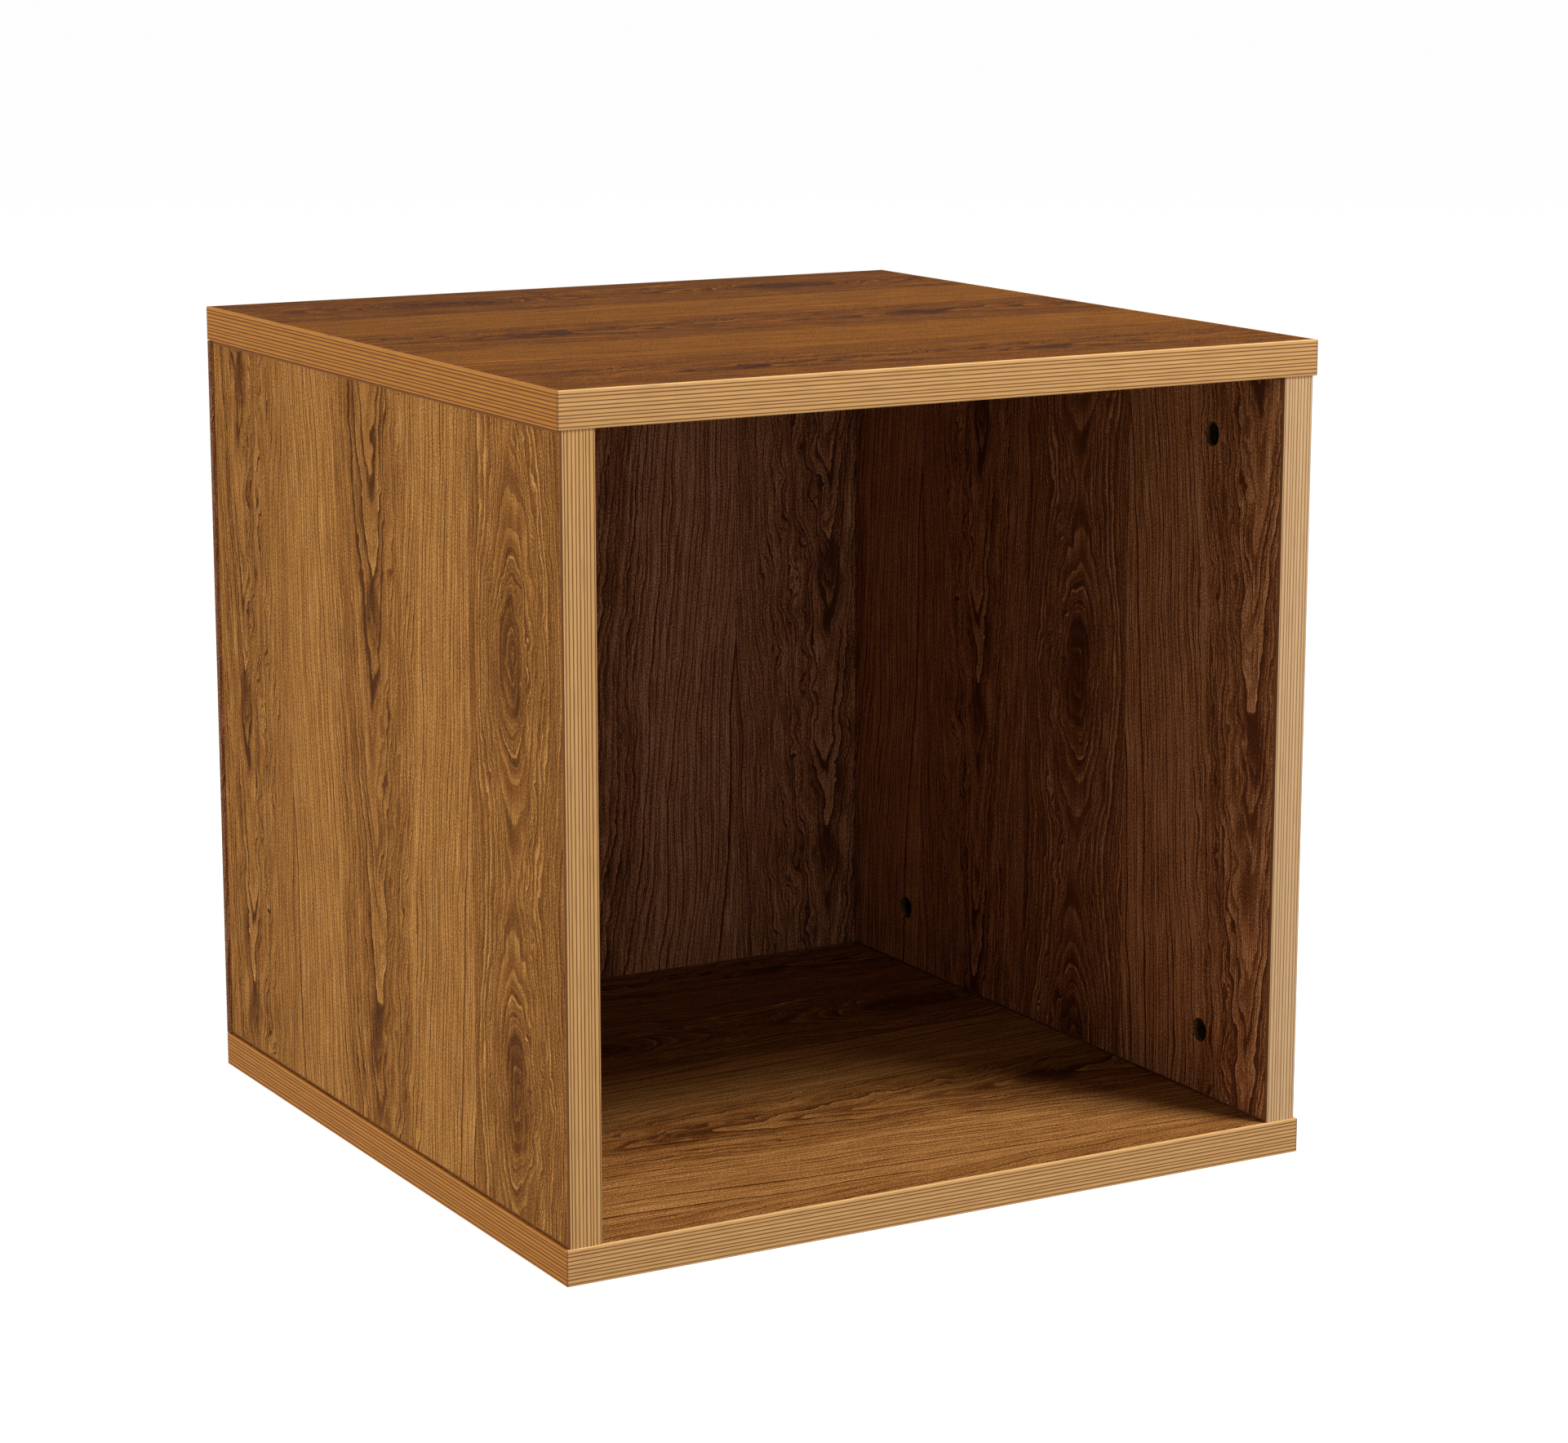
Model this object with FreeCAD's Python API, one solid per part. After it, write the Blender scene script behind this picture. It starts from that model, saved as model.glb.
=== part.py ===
import FreeCAD, Part
import math
import os

# An open-fronted storage cube of five flat-pack boards, in millimetres.
# The origin is the middle of the base: +X is the right-hand side, -Y the open front, +Z up.
# The top and bottom boards run the full width and depth, and the side boards stand between them.
# A thin back panel is screwed to the rear edges of the side boards.

# ---- Driving dimensions ----
width = 350.0
depth = 350.0
height = 350.0
board_thickness = 15.0
back_thickness = 2.5
side_inset = 1.3
front_inset = 0.5
back_panel_gap = 0.25

# Edge bands: strips glued round every board and mitred where they meet
band_thickness = 1.3
flat_board_edge_radius = 0.5
side_board_edge_radius = 1.0

# Cam lock joints: a round cam in the side board draws in the head of a bolt in the flat board
cam_from_end = 29.0
cam_from_edge = 50.0
cam_bore_radius = 5.25
board_left_behind_cam = 3.0
cam_running_clearance = 0.05
cam_recess = 2.5
cam_floor_gap = 0.3
cam_eccentricity = 0.5
cam_wall_clearance = 0.2
cam_travel = 180.0
cross_slot_length = 6.0
cross_slot_width = 1.3
plate_left_under_cross_slot = 1.0
arrow_mark_length = 1.5
arrow_mark_width = 1.6
arrow_mark_depth = 0.4

# Cam bolts
bolt_head_radius = 2.2
bolt_neck_radius = 1.3
bolt_shank_radius = 2.5
bolt_moving_clearance = 0.3
bolt_channel_clearance = 0.3
bolt_bite = 10.0
bolt_thread_pitch = 1.25
thread_depth = 0.35
blind_hole_spare = 0.5

# Wooden dowels, one beside each cam lock
dowel_radius = 3.0
dowel_in_flat_board = 10.0
dowel_in_side_board = 20.0
dowel_from_cam = 32.0
dowel_chamfer = 0.8

# Countersunk screws through the back panel
screw_count_per_side = 3
screw_from_end = 40.0
screw_length = 16.0
screw_shank_radius = 1.5
screw_head_radius = 3.0
screw_head_rim = 0.4
screw_head_height = 1.9
screw_thread_pitch = 1.2
screw_tip_length = 2.0
screw_slot_length = 3.4
screw_slot_width = 0.8
screw_slot_depth = 1.1

# ---- Places worked out from the driving dimensions ----
front_y = -depth / 2
rear_y = depth / 2
side_front_y = front_y + front_inset
side_rear_y = rear_y - back_thickness
side_depth = side_rear_y - side_front_y
side_height = height - 2 * board_thickness
side_outer_x = width / 2 - side_inset
side_inner_x = side_outer_x - board_thickness
side_middle_x = side_outer_x - board_thickness / 2
bolt_level = board_thickness / 2
cam_bore_depth = board_thickness - board_left_behind_cam

cam_rows_y = {"front": side_front_y + cam_from_edge, "rear": side_rear_y - cam_from_edge}
cam_rows_z = {
    "lower": board_thickness + cam_from_end,
    "upper": height - board_thickness - cam_from_end,
}
dowel_rows_y = [cam_rows_y["front"] + dowel_from_cam, cam_rows_y["rear"] - dowel_from_cam]
sides = {"left": -1, "right": 1}
levels = {"lower": -1, "upper": 1}

X = FreeCAD.Vector(1, 0, 0)
Y = FreeCAD.Vector(0, 1, 0)
Z = FreeCAD.Vector(0, 0, 1)
ORIGIN = FreeCAD.Vector(0, 0, 0)


def write(shape, node):
    shape.exportStep("parts/" + node + ".step")


def box(low, high):
    size = high - low
    return Part.makeBox(size.x, size.y, size.z, low)


def cylinder(radius, start, end):
    along = end - start
    return Part.makeCylinder(radius, along.Length, start, along)


def turned(points):
    # A solid of revolution about the local X axis, from (x, radius) points
    corners = [FreeCAD.Vector(x, radius, 0) for x, radius in points]
    outline = Part.makePolygon(corners + [corners[0]])
    return Part.Face(outline).revolve(ORIGIN, X, 360)


def thread_points(start, end, pitch, radius):
    # Crests and roots of a thread, drawn as rings, from start to end along X
    turns = int((end - start) / pitch)
    points = []
    for turn in range(turns):
        points.append((start + turn * pitch, radius))
        points.append((start + (turn + 0.5) * pitch, radius - thread_depth))
    points.append((start + turns * pitch, radius))
    return points


# ---- Boards and their edge bands ----


def edge_band(length, reach, turn, radius):
    # A strip along local X with its outer face at y = -reach, mitred at both ends,
    # then turned about the board's middle
    outer = -reach
    inner = outer + band_thickness
    top = board_thickness
    start = -length / 2
    bend = radius * (1 - math.sqrt(0.5))
    low_arc = Part.Arc(
        FreeCAD.Vector(start, outer + radius, 0),
        FreeCAD.Vector(start, outer + bend, bend),
        FreeCAD.Vector(start, outer, radius),
    )
    high_arc = Part.Arc(
        FreeCAD.Vector(start, outer, top - radius),
        FreeCAD.Vector(start, outer + bend, top - bend),
        FreeCAD.Vector(start, outer + radius, top),
    )
    outer_line = Part.LineSegment(
        FreeCAD.Vector(start, outer, radius), FreeCAD.Vector(start, outer, top - radius)
    )
    inner_lines = Part.makePolygon([
        FreeCAD.Vector(start, outer + radius, top),
        FreeCAD.Vector(start, inner, top),
        FreeCAD.Vector(start, inner, 0),
        FreeCAD.Vector(start, outer + radius, 0),
    ])
    edges = [low_arc.toShape(), outer_line.toShape(), high_arc.toShape()] + inner_lines.Edges
    profile = Part.Wire(edges)
    strip = Part.Face(profile).extrude(FreeCAD.Vector(length, 0, 0))
    plan = Part.makePolygon([
        FreeCAD.Vector(start, outer, 0),
        FreeCAD.Vector(-start, outer, 0),
        FreeCAD.Vector(-start - band_thickness, inner, 0),
        FreeCAD.Vector(start + band_thickness, inner, 0),
        FreeCAD.Vector(start, outer, 0),
    ])
    mitres = Part.Face(plan).extrude(FreeCAD.Vector(0, 0, top))
    band = strip.common(mitres)
    band.rotate(ORIGIN, Z, turn)
    return band


def banded_board(size_x, size_y, radius):
    # The core lies on z = 0 with its middle at the origin; the bands go round it
    core_x = size_x / 2 - band_thickness
    core_y = size_y / 2 - band_thickness
    core = box(
        FreeCAD.Vector(-core_x, -core_y, 0),
        FreeCAD.Vector(core_x, core_y, board_thickness),
    )
    bands = {
        "front": edge_band(size_x, size_y / 2, 0, radius),
        "plus_x": edge_band(size_y, size_x / 2, 90, radius),
        "rear": edge_band(size_x, size_y / 2, 180, radius),
        "minus_x": edge_band(size_y, size_x / 2, 270, radius),
    }
    return core, bands


def flat_board_holes(level):
    # Blind holes that take the cam bolts and the dowels of one flat board
    face_z = board_thickness if level < 0 else height - board_thickness
    holes = []
    for side in sides.values():
        x = side * side_middle_x
        for y in cam_rows_y.values():
            mouth = FreeCAD.Vector(x, y, face_z)
            bolt_hole = bolt_bite + blind_hole_spare
            holes.append(cylinder(bolt_shank_radius, mouth, mouth + Z * level * bolt_hole))
        for y in dowel_rows_y:
            mouth = FreeCAD.Vector(x, y, face_z)
            dowel_hole = dowel_in_flat_board + blind_hole_spare
            holes.append(cylinder(dowel_radius, mouth, mouth + Z * level * dowel_hole))
    return Part.makeCompound(holes)


def make_flat_board(name, level):
    core, bands = banded_board(width, depth, flat_board_edge_radius)
    lift = 0 if level < 0 else height - board_thickness
    core.translate(Z * lift)
    write(core.cut(flat_board_holes(level)), name + "_board")
    for key, label in (("front", "front"), ("rear", "rear"), ("minus_x", "left"), ("plus_x", "right")):
        band = bands[key]
        band.translate(Z * lift)
        write(band, name + "_board_" + label + "_edge_band")


def end_holes(side):
    # Bolt channels and dowel holes bored into both ends of a side board
    x = side * side_middle_x
    holes = []
    for level_name, level in levels.items():
        end_z = board_thickness if level < 0 else height - board_thickness
        for y in cam_rows_y.values():
            mouth = FreeCAD.Vector(x, y, end_z)
            channel_radius = bolt_shank_radius + bolt_channel_clearance
            holes.append(cylinder(channel_radius, mouth, FreeCAD.Vector(x, y, cam_rows_z[level_name])))
        for y in dowel_rows_y:
            mouth = FreeCAD.Vector(x, y, end_z)
            dowel_hole = dowel_in_side_board + blind_hole_spare
            holes.append(cylinder(dowel_radius, mouth, mouth - Z * level * dowel_hole))
    return Part.makeCompound(holes)


def cam_bores(side):
    bores = []
    for y in cam_rows_y.values():
        for z in cam_rows_z.values():
            mouth = FreeCAD.Vector(side * side_inner_x, y, z)
            bores.append(cylinder(cam_bore_radius, mouth, mouth + X * side * cam_bore_depth))
    return Part.makeCompound(bores)


def screw_places(side):
    low = board_thickness + screw_from_end
    high = height - board_thickness - screw_from_end
    step = (high - low) / (screw_count_per_side - 1)
    rows = [low + row * step for row in range(screw_count_per_side)]
    return [FreeCAD.Vector(side * side_middle_x, rear_y, z) for z in rows]


def screw_pilots(side):
    pilots = [cylinder(screw_shank_radius, place, place - Y * screw_length) for place in screw_places(side)]
    return Part.makeCompound(pilots)


def make_side_board(name, side):
    core, bands = banded_board(side_height, side_depth, side_board_edge_radius)
    # Local X becomes the height, local Z the thickness, measured from the inner face outwards
    upright = FreeCAD.Rotation(Z * -side, Y, X * side, "ZXY")
    middle = FreeCAD.Vector(side * side_inner_x, (side_front_y + side_rear_y) / 2, height / 2)
    place = FreeCAD.Placement(middle, upright)
    holes = end_holes(side)
    pilots = screw_pilots(side)
    core.Placement = place
    write(core.cut([cam_bores(side), holes, pilots]), name + "_side_board")
    lower_key = "minus_x" if side < 0 else "plus_x"
    upper_key = "plus_x" if side < 0 else "minus_x"
    for key, label in (("front", "front"), ("rear", "rear"), (upper_key, "upper"), (lower_key, "lower")):
        band = bands[key].copy()
        band.transformShape(place.toMatrix())
        write(band.cut([holes, pilots]), name + "_side_board_" + label + "_edge_band")


# ---- Cam locks, bolts and dowels ----


def facing(side, level):
    # Local Z looks into the cube along the cam's axis, and local X points along the bolt
    return FreeCAD.Rotation(Z * level, Y, X * -side, "ZXY")


def cross_recess(length, slot_width, slot_depth):
    # A cross-shaped driver recess sunk from z = 0
    long_half = length / 2
    short_half = slot_width / 2
    bar = box(FreeCAD.Vector(-long_half, -short_half, -slot_depth), FreeCAD.Vector(long_half, short_half, 0))
    cross_bar = bar.copy()
    cross_bar.rotate(ORIGIN, Z, 90)
    return bar.fuse(cross_bar)


def cam_lock():
    # The face is at z = 0 and the bolt comes in along +X, so the locked head is at the middle.
    # The head's pocket is eccentric, and a slot in the rim lets the bolt's neck pass as the cam turns.
    radius = cam_bore_radius - cam_running_clearance
    length = cam_bore_depth - cam_recess - cam_floor_gap
    neck_half = bolt_neck_radius + bolt_moving_clearance
    pocket_half = bolt_head_radius + bolt_moving_clearance
    pocket_radius = bolt_head_radius + cam_wall_clearance + cam_eccentricity
    nearest_wall = bolt_head_radius + cam_wall_clearance
    neck_angle = math.degrees(math.asin(min(1.0, neck_half / nearest_wall)))
    centre = FreeCAD.Vector(0, 0, cam_recess - bolt_level)
    body = Part.makeCylinder(radius, length, FreeCAD.Vector(0, 0, -length))
    pocket_start = centre - X * cam_eccentricity - Z * pocket_half
    pocket = cylinder(pocket_radius, pocket_start, pocket_start + Z * 2 * pocket_half)
    slot = Part.makeCylinder(
        radius + cam_bore_radius, 2 * neck_half, centre - Z * neck_half, Z, cam_travel + 2 * neck_angle
    )
    slot.rotate(centre, Z, -cam_travel - neck_angle)
    entry = cylinder(pocket_half, centre, centre - X * (radius + cam_bore_radius))
    arrow_tip = -radius + arrow_mark_depth
    arrow_plan = Part.makePolygon([
        FreeCAD.Vector(arrow_tip, 0, 0),
        FreeCAD.Vector(arrow_tip + arrow_mark_length, arrow_mark_width / 2, 0),
        FreeCAD.Vector(arrow_tip + arrow_mark_length, -arrow_mark_width / 2, 0),
        FreeCAD.Vector(arrow_tip, 0, 0),
    ])
    arrow = Part.Face(arrow_plan).extrude(Z * -arrow_mark_depth)
    face_plate = bolt_level - cam_recess - pocket_half
    recess = cross_recess(cross_slot_length, cross_slot_width, face_plate - plate_left_under_cross_slot)
    return body.cut([pocket, slot, entry, arrow, recess])


def cam_bolt():
    # Along +X: a ball head at the origin, a thin neck, a plain shank and a threaded end
    shank_start = cam_bore_radius + bolt_moving_clearance
    shank_end = cam_from_end
    points = [
        (0, 0),
        (0, bolt_neck_radius),
        (shank_start, bolt_neck_radius),
        (shank_start, bolt_shank_radius),
    ]
    threads = thread_points(shank_end, shank_end + bolt_bite, bolt_thread_pitch, bolt_shank_radius)
    points += threads + [(threads[-1][0], 0)]
    return turned(points).fuse(Part.makeSphere(bolt_head_radius))


def make_cam_locks():
    cam = cam_lock()
    for side_name, side in sides.items():
        for level_name, level in levels.items():
            for row_name, y in cam_rows_y.items():
                face_x = side * (side_inner_x + cam_recess)
                middle = FreeCAD.Vector(face_x, y, cam_rows_z[level_name])
                placed = cam.copy()
                placed.Placement = FreeCAD.Placement(middle, facing(side, level))
                write(placed, "_".join(["cam_lock", side_name, level_name, row_name]))


def make_cam_bolts():
    bolt = cam_bolt()
    for level_name, level in levels.items():
        placed_bolts = []
        for side in sides.values():
            for y in cam_rows_y.values():
                head = FreeCAD.Vector(side * side_middle_x, y, cam_rows_z[level_name])
                placed = bolt.copy()
                placed.Placement = FreeCAD.Placement(head, facing(side, level))
                placed_bolts.append(placed)
        write(Part.makeCompound(placed_bolts), level_name + "_cam_bolts")


def make_dowels():
    length = dowel_in_side_board + dowel_in_flat_board
    slim = dowel_radius - dowel_chamfer
    dowel = turned([
        (-dowel_in_side_board, 0),
        (-dowel_in_side_board, slim),
        (-dowel_in_side_board + dowel_chamfer, dowel_radius),
        (length - dowel_in_side_board - dowel_chamfer, dowel_radius),
        (length - dowel_in_side_board, slim),
        (length - dowel_in_side_board, 0),
    ])
    for level_name, level in levels.items():
        end_z = board_thickness if level < 0 else height - board_thickness
        placed_dowels = []
        for side in sides.values():
            for y in dowel_rows_y:
                placed = dowel.copy()
                middle = FreeCAD.Vector(side * side_middle_x, y, end_z)
                placed.Placement = FreeCAD.Placement(middle, facing(side, level))
                placed_dowels.append(placed)
        write(Part.makeCompound(placed_dowels), level_name + "_dowels")


# ---- Back panel and its screws ----


def back_screw():
    # Along +X from the outer face of the head at x = 0 to the tip
    points = [(0, 0), (0, screw_head_radius), (screw_head_rim, screw_head_radius)]
    thread_end = screw_length - screw_tip_length
    points += thread_points(screw_head_height, thread_end, screw_thread_pitch, screw_shank_radius)
    points.append((screw_length, 0))
    blank = turned(points)
    recess = cross_recess(screw_slot_length, screw_slot_width, screw_slot_depth)
    recess.rotate(ORIGIN, Y, -90)
    return blank.cut(recess)


def screw_seat():
    # The countersunk hole that the head and shank fill in the back panel
    return turned([
        (0, 0),
        (0, screw_head_radius),
        (screw_head_rim, screw_head_radius),
        (screw_head_height, screw_shank_radius),
        (screw_length, screw_shank_radius),
        (screw_length, 0),
    ])


def placed_on_back(shape):
    into_board = FreeCAD.Rotation(Z, 90)
    placed = []
    for side in sides.values():
        for place in screw_places(side):
            copy = shape.copy()
            copy.Placement = FreeCAD.Placement(place, into_board.inverted())
            placed.append(copy)
    return Part.makeCompound(placed)


def make_back():
    panel = box(
        FreeCAD.Vector(-width / 2, rear_y - back_thickness, board_thickness + back_panel_gap),
        FreeCAD.Vector(width / 2, rear_y, height - board_thickness - back_panel_gap),
    )
    write(panel.cut(placed_on_back(screw_seat())), "back_panel")
    write(placed_on_back(back_screw()), "back_panel_screws")


os.makedirs("parts", exist_ok=True)
make_flat_board("bottom", levels["lower"])
make_flat_board("top", levels["upper"])
for side_name, side in sides.items():
    make_side_board(side_name, side)
make_cam_locks()
make_cam_bolts()
make_dowels()
make_back()
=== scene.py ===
import math

import bpy
from mathutils import Euler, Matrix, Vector


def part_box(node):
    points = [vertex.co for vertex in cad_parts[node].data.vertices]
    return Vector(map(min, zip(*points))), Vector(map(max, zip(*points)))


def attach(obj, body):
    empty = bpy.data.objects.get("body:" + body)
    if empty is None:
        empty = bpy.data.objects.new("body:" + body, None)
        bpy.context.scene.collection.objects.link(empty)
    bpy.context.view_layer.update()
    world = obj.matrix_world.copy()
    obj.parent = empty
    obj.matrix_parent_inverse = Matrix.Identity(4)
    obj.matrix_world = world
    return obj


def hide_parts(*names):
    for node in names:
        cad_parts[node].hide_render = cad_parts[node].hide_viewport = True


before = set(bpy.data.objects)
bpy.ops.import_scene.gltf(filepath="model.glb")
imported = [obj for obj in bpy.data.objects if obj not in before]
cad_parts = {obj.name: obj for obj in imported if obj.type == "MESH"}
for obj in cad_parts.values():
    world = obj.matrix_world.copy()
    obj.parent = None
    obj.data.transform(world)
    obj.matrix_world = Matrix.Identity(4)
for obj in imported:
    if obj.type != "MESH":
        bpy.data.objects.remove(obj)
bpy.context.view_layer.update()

# ---------------------------------------------------------------------------------------------
# Bottom board: 15 mm chipboard with a planked walnut laminate pressed on both faces, grain
# running left to right. It lies on the floor and carries everything else, so it comes first.
# ---------------------------------------------------------------------------------------------

MM = 0.001
X, Y, Z = range(3)


def box_mm(node):
    """The lowest and highest corner of a piece, in millimetres."""
    low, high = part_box(node)
    return [part / MM for part in low], [part / MM for part in high]


class Finish:
    """A material built node by node; every socket is fed by another node or by a plain value."""

    def __init__(self, name):
        self.material = bpy.data.materials.new(name)
        self.material.use_nodes = True
        self.tree = self.material.node_tree
        self.shader = self.tree.nodes["Principled BSDF"]
        coordinates = self.tree.nodes.new("ShaderNodeTexCoord")
        to_mm = (1 / MM, 1 / MM, 1 / MM)
        self.place = self.vector("MULTIPLY", coordinates.outputs["Object"], to_mm)
        split = self.tree.nodes.new("ShaderNodeSeparateXYZ")
        self.feed(split.inputs[0], self.place)
        self.axis = {"x": split.outputs[0], "y": split.outputs[1], "z": split.outputs[2]}

    def feed(self, socket, value):
        if isinstance(value, bpy.types.NodeSocket):
            self.tree.links.new(value, socket)
        else:
            socket.default_value = value

    def made(self, kind, *values, operation=None):
        # A new node with its first sockets fed
        node = self.tree.nodes.new(kind)
        if operation:
            node.operation = operation
        for socket, value in zip(node.inputs, values):
            self.feed(socket, value)
        return node.outputs[0]

    def maths(self, operation, *values):
        return self.made("ShaderNodeMath", *values, operation=operation)

    def vector(self, operation, *values):
        return self.made("ShaderNodeVectorMath", *values, operation=operation)

    def spot(self, x, y, z=0.0):
        return self.made("ShaderNodeCombineXYZ", x, y, z)

    def total(self, *values):
        result = values[0]
        for value in values[1:]:
            result = self.maths("ADD", result, value)
        return result

    def centred(self, value):
        # 0 to 1 becomes -0.5 to 0.5
        return self.maths("SUBTRACT", value, 0.5)

    def absolute(self, value):
        return self.maths("ABSOLUTE", value)

    def ramp(self, value, low, high):
        # 0 at low and 1 at high, with a smooth step between
        node = self.tree.nodes.new("ShaderNodeMapRange")
        node.interpolation_type = "SMOOTHSTEP"
        self.feed(node.inputs["Value"], value)
        node.inputs["From Min"].default_value = low
        node.inputs["From Max"].default_value = high
        return node.outputs["Result"]

    def pick(self, amount, low, high):
        node = self.tree.nodes.new("ShaderNodeMix")
        node.data_type = "FLOAT"
        number_sockets = (node.inputs[0], node.inputs[2], node.inputs[3])
        for socket, value in zip(number_sockets, (amount, low, high)):
            self.feed(socket, value)
        return node.outputs[0]

    def blend(self, amount, under, over, how="MIX"):
        node = self.tree.nodes.new("ShaderNodeMix")
        node.data_type = "RGBA"
        node.blend_type = how
        self.feed(node.inputs[0], amount)
        for socket, value in ((node.inputs[6], under), (node.inputs[7], over)):
            self.feed(socket, value if isinstance(value, bpy.types.NodeSocket) else (*value, 1))
        return node.outputs[2]

    def noise(self, place, detail=2.0, roughness=0.5):
        node = self.tree.nodes.new("ShaderNodeTexNoise")
        self.feed(node.inputs["Vector"], place)
        node.inputs["Scale"].default_value = 1.0
        node.inputs["Detail"].default_value = detail
        node.inputs["Roughness"].default_value = roughness
        return node.outputs["Fac"]

    def lumps(self, each_mm, detail=2.0, roughness=0.5):
        # Noise whose lumps are so many a millimetre, the same or given for x, y and z
        each = each_mm if isinstance(each_mm, tuple) else (each_mm,) * 3
        return self.noise(self.vector("MULTIPLY", self.place, each), detail, roughness)

    def scale(self, value, stops):
        # A colour scale: stops are (place, paint-chart colour), places from 0 to 1
        node = self.tree.nodes.new("ShaderNodeValToRGB")
        steps = node.color_ramp.elements
        while len(steps) < len(stops):
            steps.new(0.5)
        for step, (place, colour) in zip(steps, stops):
            step.position = place
            step.color = (*srgb(*colour), 1)
        self.feed(node.inputs[0], value)
        return node.outputs[0]

    def colour(self, value):
        self.feed(self.shader.inputs["Base Color"], value)

    def roughness(self, pattern, depth, smoothest):
        self.feed(self.shader.inputs["Roughness"], self.maths("MULTIPLY_ADD", pattern, depth, smoothest))

    def relief(self, height, depth_mm):
        node = self.tree.nodes.new("ShaderNodeBump")
        node.inputs["Strength"].default_value = 1.0
        node.inputs["Distance"].default_value = depth_mm * MM
        self.feed(node.inputs["Height"], height)
        self.feed(self.shader.inputs["Normal"], node.outputs[0])


def srgb(*chart):
    """Paint-chart colour, 0 to 255 a channel, as the linear values that a shader takes."""
    shares = (part / 255 for part in chart)
    return tuple(part / 12.92 if part <= 0.04 else ((part + 0.055) / 1.055) ** 2.4 for part in shares)


# The sheet repeats three planks across the grain. Two are cut through arches, one through knots.
# For each: its width, where the middle of its figure lies, how steep the arches' legs or how
# wide the knots are, how often the figure repeats along the grain, where its tip or the gap
# between two knots lies (mm), and how pale it is at its sides and in its middle (0 dark, 1 pale).
PLANKS = (
    dict(width=92.0, centre=40.0, legs=8.5, repeat=143.0, tip=47.0, sides=0.70, middle=0.68),
    dict(width=183.0, centre=88.0, legs=4.6, repeat=183.0, tip=71.0, sides=0.77, middle=0.665),
    dict(width=81.0, centre=38.0, legs=22.0, repeat=176.0, tip=154.0, sides=0.43, middle=0.46),
)
SHEET_REPEAT = sum(plank["width"] for plank in PLANKS)
# How far a mark moves the tone: on the planks cut through arches, and on the one through knots
YEAR_LINES = (-0.62, -0.34)
FINE_LINES = (-0.32, 0.42)
# The stain from its darkest to its palest, and the tone that a bolder sheet keeps
STAIN = (
    (0.0, (78, 45, 21)),
    (0.3, (112, 69, 33)),
    (0.6, (146, 97, 48)),
    (0.8, (169, 118, 60)),
    (1.0, (202, 155, 96)),
)
MIDTONE = 0.68
CHIPS_DARK = (84, 54, 32)
CHIPS_PALE = (136, 98, 62)
# Each face's tint, how much of each colour it gives back, and how bold its figure is. On the top board's
# upper face the tint is painted shade; on the right board's and the back panel's inner faces it is painted
# light.
OUTER_SHEET = ((0.98, 0.95, 0.84), 1.3)
FLOOR_SHEET = ((1.06, 0.99, 0.94), 1.6)


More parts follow.
